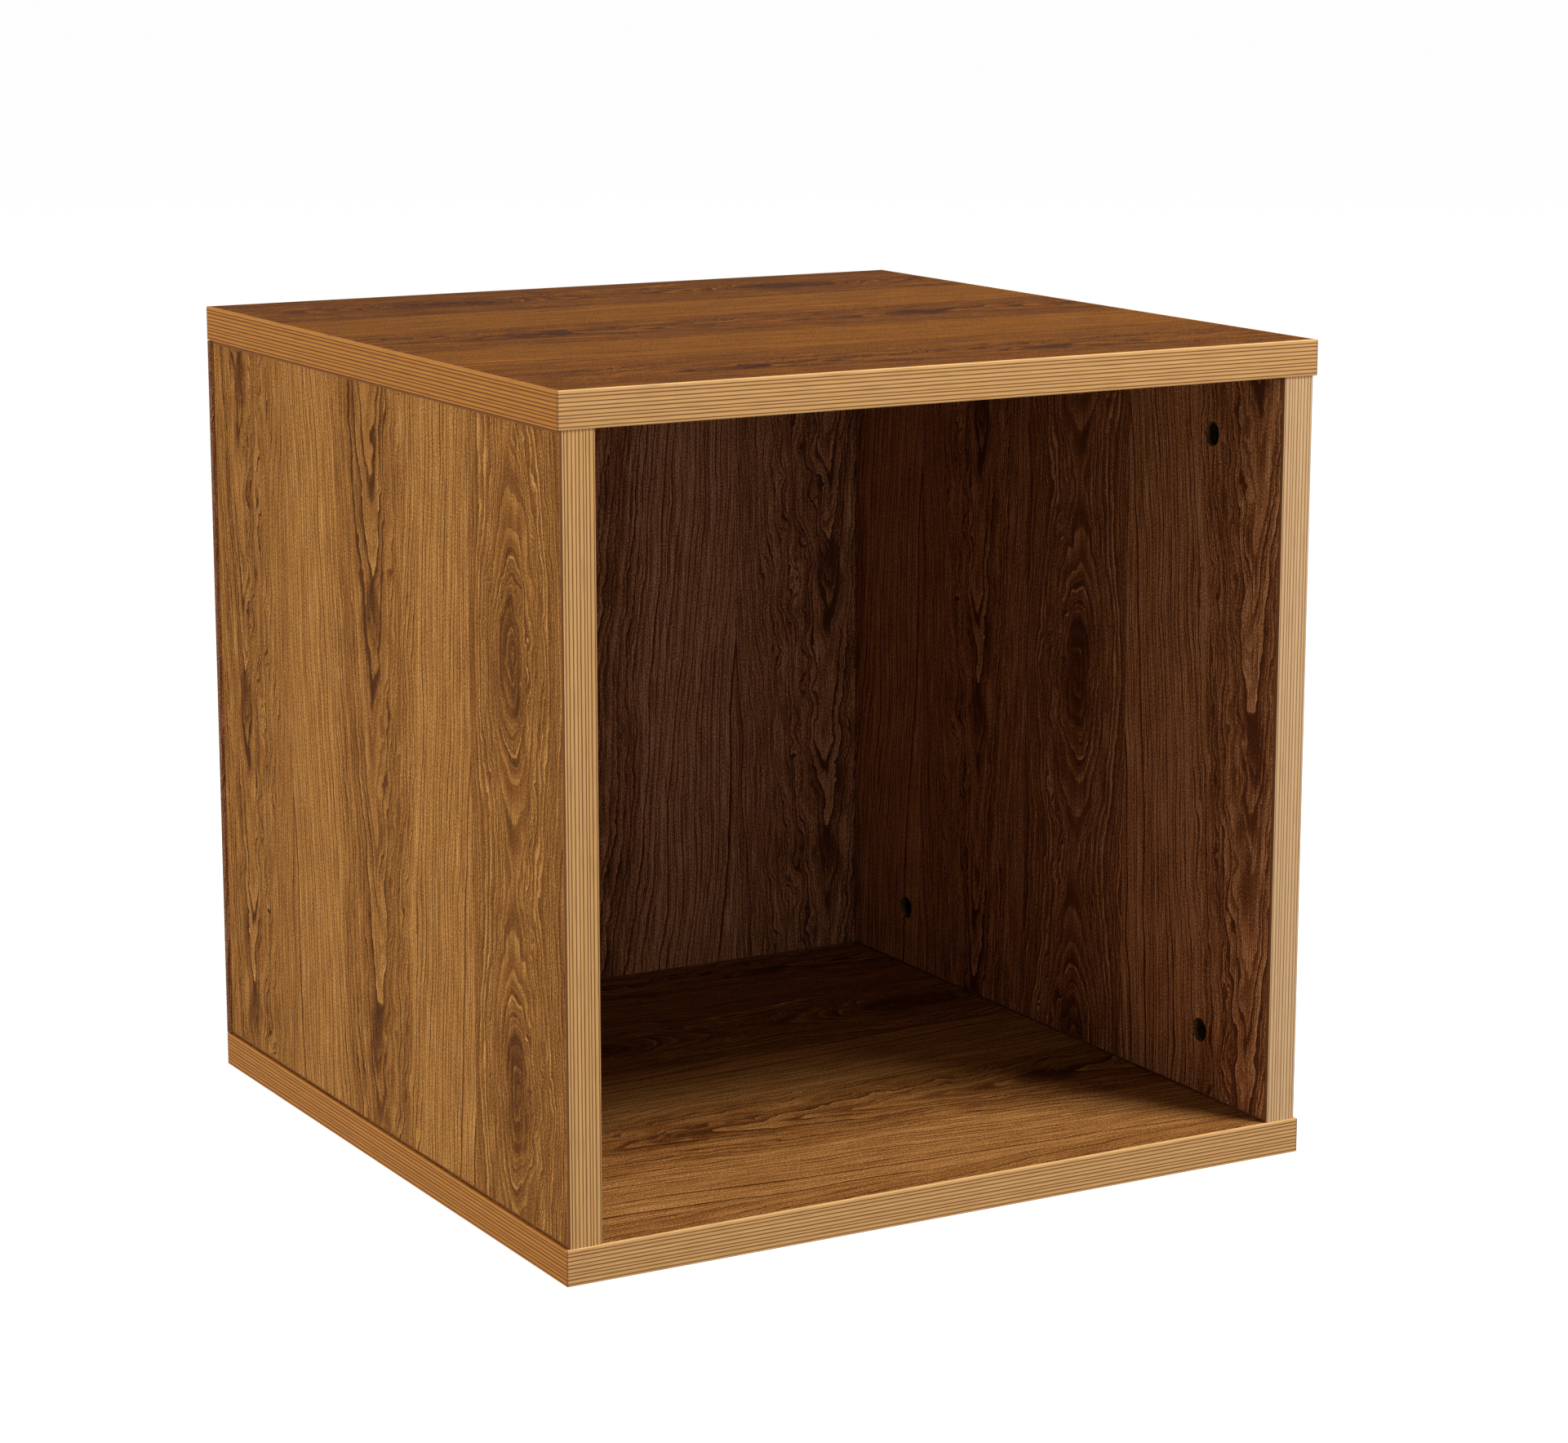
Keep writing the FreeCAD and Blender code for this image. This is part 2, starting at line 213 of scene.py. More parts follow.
def walnut_laminate(name, node, along, across, through, sheet_mm, lower, upper):
    """Walnut laminate on both faces of a board, along, across and through being axis letters and
    sheet_mm a sheet's thickness. lower and upper are the two faces: where the sheet's first
    plank edge lies (mm), which way the planks follow (1 or -1), how far the figure slides along
    the grain (mm) and the face's tint and figure boldness; on some faces the tint is painted light, on one
    painted shade."""
    f = Finish(name)
    low, high = (corner["xyz".index(through)] for corner in box_mm(node))
    middle = (low + high) / 2
    upper_face = f.maths("GREATER_THAN", f.axis[through], middle)
    low_start, low_way, low_slide, (low_tint, low_bold) = lower
    high_start, high_way, high_slide, (high_tint, high_bold) = upper
    start = f.pick(upper_face, low_start, high_start)
    way = f.pick(upper_face, float(low_way), float(high_way))
    grain = f.maths("SUBTRACT", f.axis[along], f.pick(upper_face, low_slide, high_slide))
    sheet = f.maths("MULTIPLY", f.maths("SUBTRACT", f.axis[across], start), way)
    sheet = f.maths("FLOORED_MODULO", sheet, SHEET_REPEAT)

    # Which plank this is, and that plank's own values
    first, second, third = PLANKS
    both_widths = first["width"] + second["width"]
    past_first = f.maths("GREATER_THAN", sheet, first["width"])
    knotty = f.maths("GREATER_THAN", sheet, both_widths)
    arched = f.maths("SUBTRACT", 1.0, knotty)
    number = f.maths("ADD", past_first, knotty)
    edge = f.pick(knotty, f.pick(past_first, 0.0, first["width"]), both_widths)

    def by_plank(key):
        return f.pick(knotty, f.pick(past_first, first[key], second[key]), third[key])

    plank_salt = f.maths("MULTIPLY", number, 37.0)
    salt = f.total(plank_salt, f.maths("MULTIPLY", upper_face, 11.0))

    def grain_noise(length, breadth, detail=1.0, roughness=0.5):
        # Noise drawn out along the grain, as -0.5 to 0.5
        spot = f.spot(f.maths("DIVIDE", grain, length), f.maths("DIVIDE", sheet, breadth), salt)
        return f.centred(f.noise(spot, detail, roughness))

    # Where the heart of the figure is, wandering along the plank, and how far away it is. Its
    # lines ripple and tremble most near the heart.
    wander = grain_noise(80.0, 34.0)
    ripple = grain_noise(19.0, 10.0, detail=1.5)
    tremble = grain_noise(5.0, 3.0)
    across_plank = f.maths("SUBTRACT", f.maths("SUBTRACT", sheet, edge), by_plank("centre"))
    lively = f.ramp(f.absolute(across_plank), 55.0, 12.0)
    across_heart = f.total(
        across_plank,
        f.maths("MULTIPLY", wander, 13.0),
        f.maths("MULTIPLY", ripple, f.maths("MULTIPLY_ADD", lively, 9.5, 1.5)),
    )
    reach = f.total(
        f.absolute(across_heart),
        f.maths("MULTIPLY", tremble, f.maths("MULTIPLY_ADD", lively, 1.8, 0.4)),
        f.maths("MULTIPLY", ripple, f.maths("MULTIPLY", lively, 4.0)),
    )
    reach = f.maths("MAXIMUM", reach, 0.0)
    square = f.maths("MULTIPLY", reach, reach)
    repeat = by_plank("repeat")
    legs = by_plank("legs")
    run = f.maths("DIVIDE", f.maths("SUBTRACT", grain, by_plank("tip")), repeat)

    # Arches stand in each other with their tips down, three growth lines to a repeat. Blunt
    # makes the tips round, splay spreads the legs.
    blunt = f.maths("SUBTRACT", f.maths("SQRT", f.maths("ADD", square, 9.0)), 3.0)
    spread = f.maths("MULTIPLY_ADD", reach, 1 / 60, 1.0)
    splay = f.maths("DIVIDE", f.maths("MULTIPLY", square, 0.2), spread)
    climb = f.maths("DIVIDE", f.total(f.maths("MULTIPLY", blunt, legs), splay), repeat)
    arches = f.maths("SUBTRACT", run, climb)

    # Knots are rings round a heart that comes near the surface and sinks again
    sunk = f.maths("MULTIPLY", f.maths("COSINE", f.maths("MULTIPLY", run, math.pi)), legs)
    ring = f.maths("SQRT", f.maths("MULTIPLY_ADD", sunk, sunk, square))

    # Growth lines, unevenly spaced: the year's dark edge and the finer lines between
    lines = f.pick(knotty, f.maths("MULTIPLY", arches, 3.0), f.maths("DIVIDE", ring, 4.2))
    lines = f.maths("MULTIPLY_ADD", f.maths("SINE", f.maths("MULTIPLY", lines, 2.1)), 0.3, lines)

    def growth_lines(each, wide, seed):
        turns = f.maths("MULTIPLY", lines, each)
        part = f.maths("FRACT", turns)
        chance = f.tree.nodes.new("ShaderNodeTexWhiteNoise")
        chance.noise_dimensions = "2D"
        draw = f.spot(f.maths("FLOOR", turns), f.maths("ADD", number, seed))
        f.feed(chance.inputs["Vector"], draw)
        line = f.maths("SUBTRACT", f.ramp(part, wide, 0.9), f.ramp(part, 0.92, 1.0))
        fade = f.maths("MULTIPLY_ADD", grain_noise(70.0, 8.0), 1.4, 0.85)
        strength = f.maths("MULTIPLY", f.maths("MULTIPLY_ADD", chance.outputs["Value"], 0.8, 0.2), fade)
        return f.maths("MULTIPLY", line, f.maths("MAXIMUM", strength, 0.0))

    year_lines = growth_lines(1.0, wide=0.62, seed=0.0)
    fine_lines = growth_lines(3.0, wide=0.2, seed=5.0)

    # One arch in each repeat has a bold outline, sharp inside and fading outwards
    in_arch = f.maths("FRACT", arches)
    outside_mm = f.maths("MULTIPLY", f.maths("SUBTRACT", 1.0, in_arch), f.maths("MULTIPLY", repeat, 0.1))
    near = f.maths("MULTIPLY", f.ramp(reach, 27.0, 14.0), arched)
    outline = f.maths("EXPONENT", f.maths("DIVIDE", outside_mm, -2.0))
    uneven = f.maths("MULTIPLY", near, f.maths("MULTIPLY_ADD", ripple, 2.2, 0.95))
    outline = f.maths("MULTIPLY", outline, uneven)
    light_rim = f.maths("MULTIPLY", f.ramp(in_arch, 0.06, 0.01), near)

    # Cloudy patches, the dark patch below each tip and the eyes of the knots
    patches = grain_noise(24.0, 9.0, detail=2.0)
    along_repeat = f.maths("FRACT", run)
    ragged = f.maths("MULTIPLY_ADD", patches, 14.0, f.absolute(across_heart))
    below_tip = f.maths("MULTIPLY", f.ramp(along_repeat, 0.80, 0.9), f.ramp(along_repeat, 0.99, 0.95))
    below_tip = f.maths("MULTIPLY", f.maths("MULTIPLY", below_tip, near), f.ramp(ragged, 9.0, 4.0))
    eye = f.maths("MULTIPLY", knotty, f.ramp(f.maths("MULTIPLY_ADD", patches, 7.0, ring), 11.0, 6.0))

    # Fibres, open pores and the pebbled texture of the press
    fibre = grain_noise(28.0, 0.5, detail=2.0, roughness=0.6)
    pores = f.ramp(grain_noise(3.6, 0.35), 0.1, 0.2)
    pebble = grain_noise(0.85, 0.6, roughness=0.7)

    in_middle = f.ramp(f.absolute(across_heart), 38.0, 28.0)
    tone = f.total(
        f.pick(in_middle, by_plank("sides"), by_plank("middle")),
        f.maths("MULTIPLY", patches, f.pick(in_middle, 0.16, 0.34)),
        f.maths("MULTIPLY", year_lines, f.pick(knotty, *YEAR_LINES)),
        f.maths("MULTIPLY", fine_lines, f.pick(knotty, *FINE_LINES)),
        f.maths("MULTIPLY", outline, -0.34),
        f.maths("MULTIPLY", light_rim, 0.09),
        f.maths("MULTIPLY", eye, -0.2),
        f.maths("MULTIPLY", below_tip, -0.18),
        fibre,
        f.maths("MULTIPLY", pores, -0.16),
        f.maths("MULTIPLY", pebble, 1.1),
    )
    bold = f.pick(upper_face, low_bold, high_bold)
    tone = f.maths("MULTIPLY_ADD", f.maths("SUBTRACT", tone, MIDTONE), bold, MIDTONE)
    # Each face's tint multiplies the stain; on some faces it holds painted light, on one painted shade.
    tint = f.blend(upper_face, low_tint, high_tint)
    laminate_colour_with_painted_light = f.blend(1.0, f.scale(tone, STAIN), tint, "MULTIPLY")

    # Between the two sheets is pressed wood, seen in the bores and along the rear panel's edges
    from_middle = f.absolute(f.maths("SUBTRACT", f.axis[through], middle))
    in_core = f.maths("LESS_THAN", from_middle, (high - low) / 2 - sheet_mm)
    chips = f.noise(f.vector("DIVIDE", f.place, (1.6, 1.6, 0.9)), 2.0, 0.7)
    core = f.blend(f.ramp(chips, 0.35, 0.65), srgb(*CHIPS_DARK), srgb(*CHIPS_PALE))
    f.colour(f.blend(in_core, laminate_colour_with_painted_light, core))
    f.roughness(fibre, 0.3, 0.48)
    f.shader.inputs["Specular IOR Level"].default_value = 0.015
    pressed_in = f.total(f.maths("MULTIPLY", pores, -0.5), f.maths("MULTIPLY", year_lines, -0.5))
    f.relief(f.total(fibre, pebble, pressed_in), 0.06)
    return f.material


def dress(node, material):
    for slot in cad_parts[node].material_slots:
        slot.material = material


board_low, board_high = box_mm("bottom_board")
board_thickness = board_high[Z] - board_low[Z]
BOARD_SHEET = 0.3
dress("bottom_board", walnut_laminate(
    "walnut laminate, bottom board", "bottom_board", "x", "y", "z", BOARD_SHEET,
    (100.0, -1, 0.0, OUTER_SHEET),
    (106.7, 1, 60.0, FLOOR_SHEET),
))

# ---------------------------------------------------------------------------------------------
# Edge bands of the bottom and the top board: 1.3 mm plastic strips, glued on all round and
# mitred at the corners. They are printed as plywood, nine dark glue lines between pale veneers.
# ---------------------------------------------------------------------------------------------

# Where the glue lines lie across the strip, from 0 to 1, and how far each fades out to its sides
GLUE_LINES = (0.10, 0.19, 0.305, 0.415, 0.515, 0.63, 0.71, 0.81, 0.925)
GLUE_FADE = (0.026, 0.028)
# Some veneers are a little duller, and some glue lines a little paler, than the rest
VENEER_DULLING = (0, 10, 4)
GLUE_PALING = (0, 9)
# Pale veneer and dark glue line for each side's bands. All bands carry one print: the rear and right bands
# keep its middle tone, the front bands' colours are paler, painted light, and the left bands' darker,
# painted shade.
FRONT_PAINTED_LIGHT_ROLL = ((246, 192, 124), (118, 57, 23))
LEFT_PAINTED_SHADE_ROLL = ((186, 122, 50), (64, 27, 8))
PLAIN_ROLL = ((214, 162, 104), (138, 80, 41))
CREASE = (120, 66, 34)
# Painted shade along the rounded long edges of the side boards' bands
ROUNDED_EDGE_SHADE = (118, 72, 38)


def striped_band(name, roll, along, through, start, way, mitre=None, shaded_edge_mm=0.0):
    """Plywood-look band from a roll, a pale and a dark colour. through is the axis across the
    stripes, start and way say where the first stripe counts from (mm), mitre is how far out the
    dark glue line of a mitre lies along the band (mm), and the last argument how wide a strip of
    painted shade lies along the two rounded long edges (mm)."""
    f = Finish(name)

    def drawn_out(length, breadth):
        # Noise drawn out along the band
        run = f.maths("DIVIDE", f.axis[along], length)
        return f.noise(f.spot(run, f.maths("DIVIDE", f.axis[through], breadth)))

    level = f.maths("MULTIPLY", f.maths("SUBTRACT", f.axis[through], start), way)
    level = f.maths("DIVIDE", level, board_thickness)
    wavy = f.maths("ADD", level, f.maths("MULTIPLY", f.centred(drawn_out(40.0, 1.5)), 0.012))
    pale, dark = roll
    stops = [(0.0, pale)]
    for number, line in enumerate(GLUE_LINES):
        veneer = tuple(part - VENEER_DULLING[number % 3] for part in pale)
        glue = tuple(part + GLUE_PALING[number % 2] for part in dark)
        stops += [(line - GLUE_FADE[0], veneer), (line, glue), (line + GLUE_FADE[1], veneer)]
    streak = drawn_out(16.0, 0.25)
    streaked = f.maths("MULTIPLY", f.ramp(streak, 0.45, 0.75), 0.35)
    printed = f.blend(streaked, f.scale(wavy, stops), srgb(*dark))
    # Painted shade: a dark strip along both long edges, where they are rounded
    if shaded_edge_mm:
        shaded_edge_share = shaded_edge_mm / board_thickness
        first_edge = f.maths("LESS_THAN", level, shaded_edge_share)
        second_edge = f.maths("GREATER_THAN", level, 1 - shaded_edge_share)
        printed = f.blend(f.maths("MAXIMUM", first_edge, second_edge), printed, srgb(*ROUNDED_EDGE_SHADE))
    if mitre:
        crease = f.ramp(f.absolute(f.axis[along]), mitre - 0.7, mitre - 0.1)
        printed = f.blend(f.maths("MULTIPLY", crease, 0.75), printed, srgb(*CREASE))
    f.colour(printed)
    f.roughness(streak, 0.2, 0.4)
    f.shader.inputs["Specular IOR Level"].default_value = 0.12
    f.relief(streak, 0.03)
    return f.material


band_mm = 1.3
half_width = board_high[X] + band_mm
for level_name in ("bottom", "top"):
    upper_edge = box_mm(f"{level_name}_board")[1][Z]
    for side, along, roll in (("front", "x", FRONT_PAINTED_LIGHT_ROLL), ("rear", "x", PLAIN_ROLL),
                              ("left", "y", LEFT_PAINTED_SHADE_ROLL), ("right", "y", PLAIN_ROLL)):
        name = f"striped band, {level_name} {side}"
        band = striped_band(name, roll, along, "z", upper_edge, -1, mitre=half_width)
        dress(f"{level_name}_board_{side}_edge_band", band)

# ---------------------------------------------------------------------------------------------
# Side boards: two 15 mm boards of the same laminated chipboard, grain upright. They stand on the
# bottom board and are bored from inside for the cam locks and from the ends for the bolts.
# ---------------------------------------------------------------------------------------------

# The inner sheets came out bolder than the outer ones. The right board's inner sheet is tinted paler and
# redder, which is painted light on a face that lies in shade.
INNER_SHEET = ((1.0, 0.96, 0.88), 1.6)
RIGHT_INNER_PAINTED_LIGHT = ((1.37, 1.2, 1.6), 1.8)
dress("left_side_board", walnut_laminate(
    "walnut laminate, left side", "left_side_board", "z", "y", "x", BOARD_SHEET,
    (183.5, -1, 0.0, OUTER_SHEET),
    (50.0, 1, 90.0, INNER_SHEET),
))
dress("right_side_board", walnut_laminate(
    "walnut laminate, right side", "right_side_board", "z", "y", "x", BOARD_SHEET,
    (17.8, 1, 120.0, RIGHT_INNER_PAINTED_LIGHT),
    (60.0, -1, 10.0, OUTER_SHEET),
))

# ---------------------------------------------------------------------------------------------
# Edge bands of the side boards: the same printed strips on the front, the rear and both ends.
# Their long edges are rounded and carry a 0.6 mm strip of painted shade.
# ---------------------------------------------------------------------------------------------

# Painted light: the right side board's front band is painted paler still than the other front bands.
RIGHT_FRONT_PAINTED_LIGHT_ROLL = ((250, 208, 154), (158, 98, 60))
edge_shade_width = 0.6
for side, way, front_roll in (("left", 1, FRONT_PAINTED_LIGHT_ROLL), ("right", -1, RIGHT_FRONT_PAINTED_LIGHT_ROLL)):
    side_low, side_high = box_mm(f"{side}_side_board")
    outer_face = side_low[X] if side == "left" else side_high[X]
    for edge, along in (("front", "z"), ("rear", "z"), ("upper", "y"), ("lower", "y")):
        roll = front_roll if edge == "front" else PLAIN_ROLL
        name = f"striped band, {side} side {edge}"
        band = striped_band(name, roll, along, "x", outer_face, way, shaded_edge_mm=edge_shade_width)
        dress(f"{side}_side_board_{edge}_edge_band", band)

# ---------------------------------------------------------------------------------------------
# Top board: the twin of the bottom board, with the same laminate and grain. It is pulled down
# on the side boards by four of the cam locks.
# ---------------------------------------------------------------------------------------------

# Painted shade: the top board's upper face is tinted much darker than the other faces, its blue nearly
# taken out.
TOP_FACE_PAINTED_SHADE = ((0.68, 0.47, 0.08), 1.8)
dress("top_board", walnut_laminate(
    "walnut laminate, top board", "top_board", "x", "y", "z", BOARD_SHEET,
    (20.0, 1, 0.0, INNER_SHEET),
    (-183.0, 1, 30.0, TOP_FACE_PAINTED_SHADE),
))

# ---------------------------------------------------------------------------------------------
# Back panel: 2.5 mm hardboard with the same laminate, grain upright. It closes the rear
# between the top and the bottom board and keeps the cube square.
# ---------------------------------------------------------------------------------------------

# Painted light: the back panel's inner face, in shade inside the cube, is tinted paler, its blue most of
# all.
BACK_INNER_PAINTED_LIGHT = ((1.42, 1.36, 2.25), 1.75)
PANEL_SHEET = 0.15
dress("back_panel", walnut_laminate(
    "walnut laminate, back panel", "back_panel", "z", "x", "y", PANEL_SHEET,
    (183.7, -1, 30.0, BACK_INNER_PAINTED_LIGHT),
    (-100.0, 1, 30.0, OUTER_SHEET),
))

# ---------------------------------------------------------------------------------------------
# Cam locks: eight round die-cast zinc cams, 10.4 mm across, each turning in a bore in a side
# board's inner face. A half turn with a screwdriver pulls the bolt's head in and shuts the joint.
# ---------------------------------------------------------------------------------------------

ZINC_DARK = (52, 48, 45)
ZINC_PALE = (92, 87, 82)
ZINC_STAIN = (66, 58, 50)
cast_zinc = Finish("die-cast zinc")
cast_skin = cast_zinc.lumps(1.7, 4.0, 0.65)
stained_parts = cast_zinc.ramp(cast_zinc.lumps(0.35), 0.45, 0.65)
clean_zinc = cast_zinc.blend(cast_zinc.ramp(cast_skin, 0.3, 0.7), srgb(*ZINC_DARK), srgb(*ZINC_PALE))
cast_zinc.colour(cast_zinc.blend(stained_parts, clean_zinc, srgb(*ZINC_STAIN)))
cast_zinc.roughness(cast_skin, 0.35, 0.3)
cast_zinc.shader.inputs["Metallic"].default_value = 0.85
cast_zinc.relief(cast_skin, 0.05)
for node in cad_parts:
    if node.startswith("cam_lock"):
        dress(node, cast_zinc.material)

# ---------------------------------------------------------------------------------------------
# Dowels: eight 6 x 30 mm beech pegs with fluted sides that let glue and air escape, one beside
# each cam lock. They are tapped 20 mm into the side boards and 10 mm into the flat boards.
# ---------------------------------------------------------------------------------------------

FULL_TURN = 2 * math.pi
# Points closer than this (mm) are one point; edges sharper than this show as edges
SAME_POINT = 0.002
SHARP_EDGE = math.radians(32)


class Turnery:
    """A Geometry Nodes tree that turns one small part about its axis, from named sizes in
    millimetres, and sets a copy of it at every given point, facing the way that Facing says.
    radius gives the part's radius at a level and an angle, and finishing cuts the turned part."""

    def __init__(self, name, material, sizes, facets, rows, margin, radius, finishing=None):
        self.tree = bpy.data.node_groups.new(name, "GeometryNodeTree")
        sockets = self.tree.interface
        sockets.new_socket(name="Geometry", in_out="OUTPUT", socket_type="NodeSocketGeometry")
        sockets.new_socket(name="Geometry", in_out="INPUT", socket_type="NodeSocketGeometry")
        facing = sockets.new_socket(name="Facing", in_out="INPUT", socket_type="NodeSocketVector")
        self.facing = facing.identifier
        for size, value in sizes.items():
            socket = sockets.new_socket(name=size, in_out="INPUT", socket_type="NodeSocketFloat")
            socket.default_value = value
        given = self.tree.nodes.new("NodeGroupInput")
        self.sizes = {size: given.outputs[size] for size in sizes}

        # A flat sheet of facets by rows is rolled round the axis. Its first and last row close
        # the ends, and margin (mm) is what those rows take beyond the part's length.
        corners = {"Vertices X": facets + 1, "Vertices Y": rows + 1}
        sheet = self.add("GeometryNodeMeshGrid", {"Size X": 1.0, "Size Y": 1.0, **corners})
        where = self.tree.nodes.new("ShaderNodeSeparateXYZ")
        self.join(self.tree.nodes.new("GeometryNodeInputPosition").outputs[0], where.inputs[0])
        round_axis, up_axis = where.outputs[0], where.outputs[1]
        angle = self.maths("MULTIPLY", round_axis, FULL_TURN)
        start, end = self.sizes["Start"], self.sizes["End"]
        length = self.maths("ADD", self.maths("SUBTRACT", end, start), 2 * margin)
        first_row = self.maths("SUBTRACT", start, margin)
        level = self.maths("MULTIPLY_ADD", self.maths("ADD", up_axis, 0.5), length, first_row)
        level = self.maths("MAXIMUM", self.maths("MINIMUM", level, end), start)
        open_row = self.maths("LESS_THAN", self.maths("ABSOLUTE", up_axis), 0.5 - 0.5 / rows)
        wide = self.maths("MULTIPLY", radius(self, level, angle), open_row)
        rolled = self.vector(
            self.maths("MULTIPLY", self.maths("COSINE", angle), wide),
            self.maths("MULTIPLY", self.maths("SINE", angle), wide),
            level,
        )
        part = self.add("GeometryNodeSetPosition", {"Geometry": sheet, "Position": rolled})
        part = self.add("GeometryNodeMergeByDistance", {"Geometry": part, "Distance": SAME_POINT * MM})
        if finishing:
            part = finishing(self, part)
        points = {"Points": given.outputs["Geometry"], "Rotation": given.outputs["Facing"]}
        copies = self.add("GeometryNodeInstanceOnPoints", {"Instance": part, **points})
        solid = self.add("GeometryNodeRealizeInstances", {"Geometry": copies})
        solid = self.add("GeometryNodeSetMaterial", {"Geometry": solid, "Material": material})
        self.join(solid, self.tree.nodes.new("NodeGroupOutput").inputs[0])

    def join(self, value, socket):
        if isinstance(value, bpy.types.NodeSocket):
            self.tree.links.new(value, socket)
        else:
            socket.default_value = value

    def add(self, kind, values):
        node = self.tree.nodes.new(kind)
        for name, value in values.items():
            self.join(value, node.inputs[name])
        return node.outputs[0]

    def maths(self, operation, *values):
        node = self.tree.nodes.new("ShaderNodeMath")
        node.operation = operation
        for value, socket in zip(values, node.inputs):
            self.join(value, socket)
        return node.outputs[0]

    def vector(self, *parts_mm):
        node = self.tree.nodes.new("ShaderNodeCombineXYZ")
        for part, socket in zip(parts_mm, node.inputs):
            self.join(self.maths("MULTIPLY", part, MM), socket)
        return node.outputs[0]

    def make(self, name, places, facing):
        piece_mesh = bpy.data.meshes.new(name)
        piece_mesh.from_pydata([Vector(place) * MM for place in places], [], [])
        piece = bpy.data.objects.new(name, piece_mesh)
        bpy.context.scene.collection.objects.link(piece)
        modifier = piece.modifiers.new(name, "NODES")
        modifier.node_group = self.tree
        modifier[self.facing] = facing
        shapes = bpy.context.evaluated_depsgraph_get()
        baked = bpy.data.meshes.new_from_object(piece.evaluated_get(shapes), depsgraph=shapes)
        piece.modifiers.remove(modifier)
        baked.materials.pop(index=0)        # the sheet's own empty slot
        baked.shade_smooth()
        baked.set_sharp_from_angle(angle=SHARP_EDGE)
        piece.data = baked
        return piece


def dowel_radius(t, level, angle):
    above = t.maths("SUBTRACT", level, t.sizes["Start"])
    below = t.maths("SUBTRACT", t.sizes["End"], level)
    chamfered = t.maths("SUBTRACT", t.sizes["Radius"], t.sizes["Chamfer"])
    chamfered = t.maths("ADD", chamfered, t.maths("MINIMUM", above, below))
    body = t.maths("MINIMUM", chamfered, t.sizes["Radius"])
    wave = t.maths("COSINE", t.maths("MULTIPLY", angle, t.sizes["Flutes"]))
    flute = t.maths("MULTIPLY", t.maths("MAXIMUM", wave, 0.0), t.sizes["Flute Depth"])
    return t.maths("SUBTRACT", body, flute)


BEECH_PALE = (222, 184, 138)
BEECH_DARK = (196, 150, 104)
BEECH_FLECK = (150, 100, 62)
beech = Finish("raw beech")
beech_streaks = beech.lumps((2.4, 2.4, 0.22), 3.0, 0.6)
beech_flecks = beech.ramp(beech.lumps((5.0, 5.0, 0.9), 1.0), 0.6, 0.68)
plain_beech = beech.blend(beech.ramp(beech_streaks, 0.35, 0.65), srgb(*BEECH_PALE), srgb(*BEECH_DARK))
beech.colour(beech.blend(beech_flecks, plain_beech, srgb(*BEECH_FLECK)))
beech.roughness(beech_streaks, 0.3, 0.5)
beech.relief(beech_streaks, 0.05)

DOWEL_SIZES = {
    "Start": -20.0, "End": 10.0, "Radius": 3.0, "Chamfer": 0.8, "Flutes": 14.0, "Flute Depth": 0.22,
}
dowels_tree = Turnery(
    "fluted dowel", beech.material, DOWEL_SIZES,
    facets=56, rows=40, margin=0.8, radius=dowel_radius,
)
DOWEL_ROWS = (-92.5, 90.5)
# The pieces' own axis points up, into the top board, or turned over, into the bottom board
UPWARDS = (0.0, 0.0, 0.0)
DOWNWARDS = (math.pi, 0.0, 0.0)
side_middle = (side_low[X] + side_high[X]) / 2
lower_end = board_high[Z]
upper_end = box_mm("top_board")[0][Z]


def four_places(rows, height):
    """One place in each side board for each row from front to rear."""
    return [(x, y, height) for x in (-side_middle, side_middle) for y in rows]


for level_name, height, facing in (("lower", lower_end, DOWNWARDS), ("upper", upper_end, UPWARDS)):
    dowels = dowels_tree.make(f"fluted_{level_name}_dowels", four_places(DOWEL_ROWS, height), facing)
    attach(dowels, "cube")
    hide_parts(f"{level_name}_dowels")

# ---------------------------------------------------------------------------------------------
# Cam bolts: eight zinc-plated steel bolts screwed 10 mm into the flat boards. The ball head
# stands on a thin neck in the middle of its cam.
# ---------------------------------------------------------------------------------------------


def plated_steel(name, dark, pale, smoothest):
    f = Finish(name)
    bloom = f.ramp(f.lumps(0.6, 3.0, 0.6), 0.3, 0.7)
    scratches = f.lumps(6.0)
    f.colour(f.blend(bloom, srgb(*dark), srgb(*pale)))
    f.roughness(scratches, 0.25, smoothest)
    f.shader.inputs["Metallic"].default_value = 1.0
    f.relief(scratches, 0.015)
    return f.material


def threaded(t, level, angle, plain_radius):
    # Cuts a helical thread into a shank, from where it starts to its end
    pitches = t.maths("DIVIDE", level, t.sizes["Pitch"])
    turns = t.maths("SUBTRACT", pitches, t.maths("DIVIDE", angle, FULL_TURN))
    zigzag = t.maths("MULTIPLY", t.maths("PINGPONG", turns, 0.5), 2.0)
    groove = t.maths("MULTIPLY", zigzag, t.sizes["Thread Depth"])
    on_thread = t.maths("GREATER_THAN", level, t.sizes["Thread Start"])
    return t.maths("SUBTRACT", plain_radius, t.maths("MULTIPLY", groove, on_thread))


